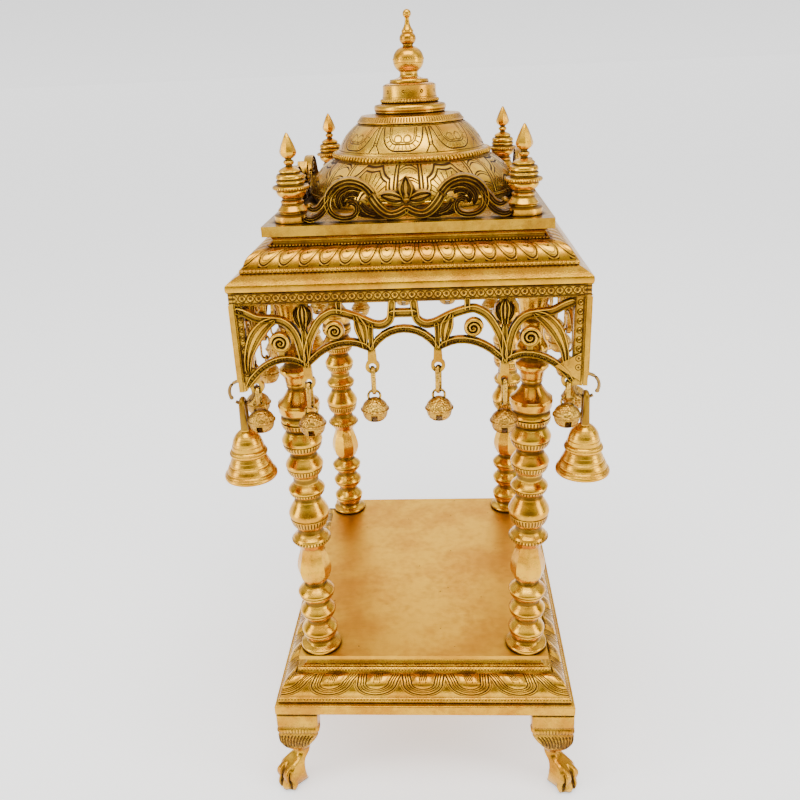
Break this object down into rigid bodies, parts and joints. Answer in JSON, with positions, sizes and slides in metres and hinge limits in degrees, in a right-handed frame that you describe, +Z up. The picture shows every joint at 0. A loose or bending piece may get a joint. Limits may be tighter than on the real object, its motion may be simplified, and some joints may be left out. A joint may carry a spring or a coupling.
{
  "type": "pooja mandir",
  "caption": "Cast brass household shrine: paw feet, moulded base, turned pillars, pierced eave panels with hanging bells, and a tiered dome roof.",
  "frame": {"origin": "centre of the plan, on the plane that the four feet stand on", "axes": "+Z up, +X to the viewer's right and -Y towards the viewer who faces the shrine's front"},
  "size_m": [0.2782, 0.318, 0.61],
  "materials": {
    "brass": "polished cast brass with dark patina in the recesses"
  },
  "bodies": {
    "shrine_frame": {"plinth": "brass", "floor_plate": "brass", "ceiling_plate": "brass", "cornice": "brass", "roof_slab": "brass", "dome_lower": "brass", "dome_upper": "brass", "dome_neck": "brass", "finial": "brass", "turrets": "brass", "roof_crests": "brass", "corner_rings": "brass", "leg_front_left": "brass", "leg_front_right": "brass", "leg_back_left": "brass", "leg_back_right": "brass", "pillar_front_left": "brass", "pillar_front_right": "brass", "pillar_back_left": "brass", "pillar_back_right": "brass", "valance_front": "brass", "valance_back": "brass", "valance_left": "brass", "valance_right": "brass"},
    "jingle_front_1": {"jingle_front_1": "brass"},
    "jingle_front_2": {"jingle_front_2": "brass"},
    "jingle_front_3": {"jingle_front_3": "brass"},
    "jingle_front_4": {"jingle_front_4": "brass"},
    "jingle_back_1": {"jingle_back_1": "brass"},
    "jingle_back_2": {"jingle_back_2": "brass"},
    "jingle_back_3": {"jingle_back_3": "brass"},
    "jingle_back_4": {"jingle_back_4": "brass"},
    "jingle_left_1": {"jingle_left_1": "brass"},
    "jingle_left_2": {"jingle_left_2": "brass"},
    "jingle_left_3": {"jingle_left_3": "brass"},
    "jingle_left_4": {"jingle_left_4": "brass"},
    "jingle_left_5": {"jingle_left_5": "brass"},
    "jingle_left_6": {"jingle_left_6": "brass"},
    "jingle_right_1": {"jingle_right_1": "brass"},
    "jingle_right_2": {"jingle_right_2": "brass"},
    "jingle_right_3": {"jingle_right_3": "brass"},
    "jingle_right_4": {"jingle_right_4": "brass"},
    "jingle_right_5": {"jingle_right_5": "brass"},
    "jingle_right_6": {"jingle_right_6": "brass"},
    "jingle_corner_front_left": {"jingle_corner_front_left": "brass"},
    "jingle_corner_front_right": {"jingle_corner_front_right": "brass"},
    "jingle_corner_back_left": {"jingle_corner_back_left": "brass"},
    "jingle_corner_back_right": {"jingle_corner_back_right": "brass"},
    "bell_front_left": {"bell_front_left": "brass"},
    "bell_front_right": {"bell_front_right": "brass"},
    "bell_back_left": {"bell_back_left": "brass"},
    "bell_back_right": {"bell_back_right": "brass"}
  },
  "joints": [
    {"name": "jingle_front_1_swing", "type": "hinge", "parent": "shrine_frame", "child": "jingle_front_1", "pos_m": [-0.0705, -0.1448, 0.373], "axis": [0, 1, 0], "range_deg": [-18, 18]},
    {"name": "jingle_front_2_swing", "type": "hinge", "parent": "shrine_frame", "child": "jingle_front_2", "pos_m": [-0.0258, -0.1448, 0.3834], "axis": [0, 1, 0], "range_deg": [-18, 18]},
    {"name": "jingle_front_3_swing", "type": "hinge", "parent": "shrine_frame", "child": "jingle_front_3", "pos_m": [0.0188, -0.1448, 0.3834], "axis": [0, 1, 0], "range_deg": [-18, 18]},
    {"name": "jingle_front_4_swing", "type": "hinge", "parent": "shrine_frame", "child": "jingle_front_4", "pos_m": [0.0635, -0.1448, 0.373], "axis": [0, 1, 0], "range_deg": [-18, 18]},
    {"name": "jingle_back_1_swing", "type": "hinge", "parent": "shrine_frame", "child": "jingle_back_1", "pos_m": [-0.0635, 0.1448, 0.373], "axis": [0, 1, 0], "range_deg": [-18, 18]},
    {"name": "jingle_back_2_swing", "type": "hinge", "parent": "shrine_frame", "child": "jingle_back_2", "pos_m": [-0.0188, 0.1448, 0.3834], "axis": [0, 1, 0], "range_deg": [-18, 18]},
    {"name": "jingle_back_3_swing", "type": "hinge", "parent": "shrine_frame", "child": "jingle_back_3", "pos_m": [0.0258, 0.1448, 0.3834], "axis": [0, 1, 0], "range_deg": [-18, 18]},
    {"name": "jingle_back_4_swing", "type": "hinge", "parent": "shrine_frame", "child": "jingle_back_4", "pos_m": [0.0705, 0.1448, 0.373], "axis": [0, 1, 0], "range_deg": [-18, 18]},
    {"name": "jingle_left_1_swing", "type": "hinge", "parent": "shrine_frame", "child": "jingle_left_1", "pos_m": [-0.1179, -0.1046, 0.373], "axis": [1, 0, 0], "range_deg": [-16, 16]},
    {"name": "jingle_left_2_swing", "type": "hinge", "parent": "shrine_frame", "child": "jingle_left_2", "pos_m": [-0.1179, -0.0621, 0.3814], "axis": [1, 0, 0], "range_deg": [-16, 16]},
    {"name": "jingle_left_3_swing", "type": "hinge", "parent": "shrine_frame", "child": "jingle_left_3", "pos_m": [-0.1179, -0.0207, 0.3874], "axis": [1, 0, 0], "range_deg": [-16, 16]},
    {"name": "jingle_left_4_swing", "type": "hinge", "parent": "shrine_frame", "child": "jingle_left_4", "pos_m": [-0.1179, 0.0207, 0.3874], "axis": [1, 0, 0], "range_deg": [-16, 16]},
    {"name": "jingle_left_5_swing", "type": "hinge", "parent": "shrine_frame", "child": "jingle_left_5", "pos_m": [-0.1179, 0.0621, 0.3814], "axis": [1, 0, 0], "range_deg": [-16, 16]},
    {"name": "jingle_left_6_swing", "type": "hinge", "parent": "shrine_frame", "child": "jingle_left_6", "pos_m": [-0.1179, 0.1046, 0.373], "axis": [1, 0, 0], "range_deg": [-16, 16]},
    {"name": "jingle_right_1_swing", "type": "hinge", "parent": "shrine_frame", "child": "jingle_right_1", "pos_m": [0.1179, -0.1046, 0.373], "axis": [1, 0, 0], "range_deg": [-16, 16]},
    {"name": "jingle_right_2_swing", "type": "hinge", "parent": "shrine_frame", "child": "jingle_right_2", "pos_m": [0.1179, -0.0621, 0.3814], "axis": [1, 0, 0], "range_deg": [-16, 16]},
    {"name": "jingle_right_3_swing", "type": "hinge", "parent": "shrine_frame", "child": "jingle_right_3", "pos_m": [0.1179, -0.0207, 0.3874], "axis": [1, 0, 0], "range_deg": [-16, 16]},
    {"name": "jingle_right_4_swing", "type": "hinge", "parent": "shrine_frame", "child": "jingle_right_4", "pos_m": [0.1179, 0.0207, 0.3874], "axis": [1, 0, 0], "range_deg": [-16, 16]},
    {"name": "jingle_right_5_swing", "type": "hinge", "parent": "shrine_frame", "child": "jingle_right_5", "pos_m": [0.1179, 0.0621, 0.3814], "axis": [1, 0, 0], "range_deg": [-16, 16]},
    {"name": "jingle_right_6_swing", "type": "hinge", "parent": "shrine_frame", "child": "jingle_right_6", "pos_m": [0.1179, 0.1046, 0.373], "axis": [1, 0, 0], "range_deg": [-16, 16]},
    {"name": "jingle_corner_front_left_swing", "type": "hinge", "parent": "shrine_frame", "child": "jingle_corner_front_left", "pos_m": [-0.1066, -0.1448, 0.3661], "axis": [1, 0, 0], "range_deg": [-20, 20]},
    {"name": "jingle_corner_front_right_swing", "type": "hinge", "parent": "shrine_frame", "child": "jingle_corner_front_right", "pos_m": [0.1066, -0.1448, 0.3661], "axis": [1, 0, 0], "range_deg": [-20, 20]},
    {"name": "jingle_corner_back_left_swing", "type": "hinge", "parent": "shrine_frame", "child": "jingle_corner_back_left", "pos_m": [-0.1066, 0.1448, 0.3661], "axis": [1, 0, 0], "range_deg": [-20, 20]},
    {"name": "jingle_corner_back_right_swing", "type": "hinge", "parent": "shrine_frame", "child": "jingle_corner_back_right", "pos_m": [0.1066, 0.1448, 0.3661], "axis": [1, 0, 0], "range_deg": [-20, 20]},
    {"name": "bell_front_left_swing", "type": "hinge", "parent": "shrine_frame", "child": "bell_front_left", "pos_m": [-0.1199, -0.1398, 0.3558], "axis": [1, 0, 0], "range_deg": [-20, 12]},
    {"name": "bell_front_right_swing", "type": "hinge", "parent": "shrine_frame", "child": "bell_front_right", "pos_m": [0.1199, -0.1398, 0.3558], "axis": [1, 0, 0], "range_deg": [-20, 12]},
    {"name": "bell_back_left_swing", "type": "hinge", "parent": "shrine_frame", "child": "bell_back_left", "pos_m": [-0.1199, 0.1398, 0.3558], "axis": [1, 0, 0], "range_deg": [-12, 20]},
    {"name": "bell_back_right_swing", "type": "hinge", "parent": "shrine_frame", "child": "bell_back_right", "pos_m": [0.1199, 0.1398, 0.3558], "axis": [1, 0, 0], "range_deg": [-12, 20]}
  ]
}
